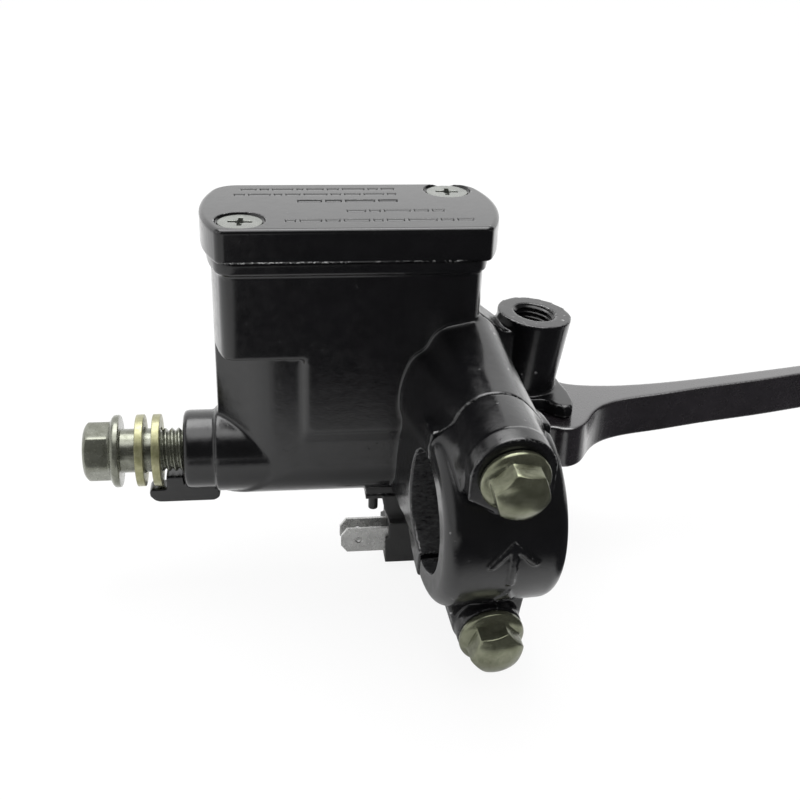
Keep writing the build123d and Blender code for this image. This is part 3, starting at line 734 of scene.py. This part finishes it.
# ------------------------------------------------------------------ dust boot with bellows
# columns: axial place along the bore, radius
BOOT_SECTION = [
    (66.95, 4.5), (66.95, 6.7), (67.1, 6.88), (68.7, 6.88), (68.95, 6.75), (69.1, 6.35),
    (69.25, 6.15), (69.45, 6.3), (69.65, 6.5), (69.85, 6.4), (70.0, 6.0), (70.15, 5.8),
    (70.35, 5.9), (70.5, 6.0), (70.65, 5.8), (70.78, 5.3), (70.8, 4.7), (70.7, 4.45)]


def dust_boot():
    angles = even_angles(96)
    points = revolve([BOOT_SECTION] * len(angles), angles)
    mesh = ring_mesh("dust_boot_bellows", from_bore(points))
    finish_piece("dust_boot_bellows", mesh, "cup_rubber", ("dust_boot",))


dust_boot()


# ------------------------------------------------------------------ coil springs
def coil_spring(name, replaces, foot, length, radius, wire, pitch, ends):
    """a coil spring between the body and the moving part

    foot is the centre of the first turn, wire the wire's radius;
    ends, two X places for the spring's ends, is not used"""
    turns = length / pitch
    steps, sides = int(turns * 44), 14
    foot_x, foot_y, foot_z = foot
    points = []
    for i in range(steps + 1):
        t = 2 * math.pi * turns * i / steps
        centre = np.array((foot_x + pitch * t / (2 * math.pi),
                           foot_y + radius * math.sin(t), foot_z - radius * math.cos(t)))
        radial = np.array((0.0, math.sin(t), -math.cos(t)))
        tangent = np.array((pitch / (2 * math.pi), radius * math.cos(t), radius * math.sin(t)))
        tangent /= np.linalg.norm(tangent)
        across = np.cross(tangent, radial)
        for a in even_angles(sides):
            points.append(centre + wire * (math.cos(a) * radial + math.sin(a) * across))
    faces = []
    for i in range(steps):
        near, far = i * sides, (i + 1) * sides
        for j in range(sides):
            after = (j + 1) % sides
            faces.append((near + j, near + after, far + after, far + j))
    faces.append(tuple(range(sides)))
    faces.append(tuple(steps * sides + j for j in reversed(range(sides))))
    mesh = build_mesh(name, from_bore(points), faces)
    spring = smooth_object(name, mesh, "spring_steel", angle=50)
    start, end = (tuple(from_bore((x, foot_y, foot_z))) for x in ends)
    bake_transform(spring)
    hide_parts(replaces)


coil_spring("return_spring_coil", "return_spring", foot=(16.6, 0.0, 0.0),
            length=13.2, radius=4.0, wire=0.45, pitch=2.2, ends=(16.2, 30.3))
coil_spring("switch_spring_coil", "switch_spring", foot=(60.4, 9.0, -21.0),
            length=7.0, radius=1.45, wire=0.25, pitch=1.4, ends=(60.2, 67.6))


# ------------------------------------------------------------------ floor, world, light, camera
def floor_material():
    """pale card, with a dark area that only reflections see"""
    material, shader, surface = new_material("floor_card")
    position = shader.add("NewGeometry").outputs["Position"]
    where = shader.split(position)
    tone = shader.ramp(shader.noise(position, scale=3, detail=2), (0.3, 0.90), (0.7, 0.93))
    shader.fill(surface, {"Base Color": tone, "Roughness": 0.9, "Specular IOR Level": 0.1})
    rays = shader.add("LightPath").outputs
    # dark towards -Y, reaching further back at +X and mostly fading out at -X
    reach = shader.smooth_step(where["X"], 0.02, 0.05, high=0.100)
    front = shader.smooth_step(shader.maths("SUBTRACT", where["Y"], reach), -0.030, -0.080)
    right = shader.smooth_step(where["X"], -0.13, -0.07, low=0.15)
    reflected = shader.maths("MULTIPLY", rays["Is Glossy Ray"], front)
    darkness = shader.maths("MULTIPLY", reflected, right)
    dark = shader.add("Emission", {"Color": (0.05, 0.05, 0.055, 1), "Strength": 1.0})
    # the camera sees the card mostly as plain white
    white = shader.add("Emission", {"Color": (1, 1, 1, 1), "Strength": 1.0})
    whiteness = shader.maths("MULTIPLY", rays["Is Camera Ray"], 0.88)
    card = shader.mix_shader(whiteness, surface.outputs[0], white.outputs[0])
    shader.fill(shader.tree.nodes["Material Output"],
                {"Surface": shader.mix_shader(darkness, card, dark.outputs[0])})
    return material


def add_floor():
    gap = 0.0005
    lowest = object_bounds()[0].z
    bpy.ops.mesh.primitive_grid_add(x_subdivisions=8, y_subdivisions=8, size=12.0,
                                    location=(0, 0, lowest - gap))
    floor = bpy.context.object
    floor.name = "floor"
    floor.data.materials.append(floor_material())


def add_world():
    """even white light, but reflections see glows above, at the back (+Y) and left (-X)"""
    world = bpy.data.worlds.new("studio")
    scene.world = world
    world.use_nodes = True
    world.node_tree.nodes.clear()
    shader = Shader(world.node_tree)
    way = shader.split(shader.add("TexCoord").outputs["Generated"])
    overhead = shader.maths("MULTIPLY", shader.smooth_step(way["Z"], 0.74, 0.94), 3.8)
    back = shader.maths("MULTIPLY", shader.smooth_step(way["Y"], 0.25, 0.72), 1.45)
    left = shader.maths("MULTIPLY", shader.smooth_step(way["X"], -0.45, -0.85), 1.15)
    least = 0.06
    glow = shader.maths("MAXIMUM", shader.maths("MAXIMUM", overhead, back),
                        shader.maths("MAXIMUM", left, least))
    soft = shader.add("Background", {"Color": (1, 1, 1, 1), "Strength": 1.08})
    glossy = shader.add("Background", {"Color": (1, 1, 1, 1), "Strength": glow})
    is_glossy = shader.add("LightPath").outputs["Is Glossy Ray"]
    mixed = shader.mix_shader(is_glossy, soft.outputs[0], glossy.outputs[0])
    shader.add("OutputWorld", {"Surface": mixed})


def add_key_light():
    """soft box above and behind, aimed at the origin"""
    light = bpy.data.lights.new("key", "AREA")
    light.shape = "RECTANGLE"
    light.size, light.size_y = 0.5, 0.35
    light.energy = 2.2
    key = bpy.data.objects.new("key", light)
    scene.collection.objects.link(key)
    key.location = (0.02, 0.22, 0.55)
    key.rotation_euler = (-Vector(key.location)).to_track_quat("-Z", "Y").to_euler()


def add_camera():
    lens = bpy.data.cameras.new("camera")
    lens.sensor_width = 36.0
    lens.lens = 50.735
    lens.clip_start, lens.clip_end = 0.01, 50.0
    camera = bpy.data.objects.new("camera", lens)
    scene.collection.objects.link(camera)
    place = (-0.060996, -0.189806, 0.125702)
    right = Vector((0.978209, -0.205332, 0.030761))
    up = Vector((0.066838, 0.451697, 0.889664))
    forward = Vector((0.196572, 0.868221, -0.455578))
    turn = Matrix((right, up, -forward)).transposed()
    camera.matrix_world = Matrix.Translation(place) @ turn.to_4x4()
    scene.camera = camera


add_floor()
add_world()
add_key_light()
add_camera()
scene.view_settings.view_transform = "Standard"
scene.view_settings.look = "None"
scene.view_settings.exposure = 0.0
scene.view_settings.gamma = 1.0
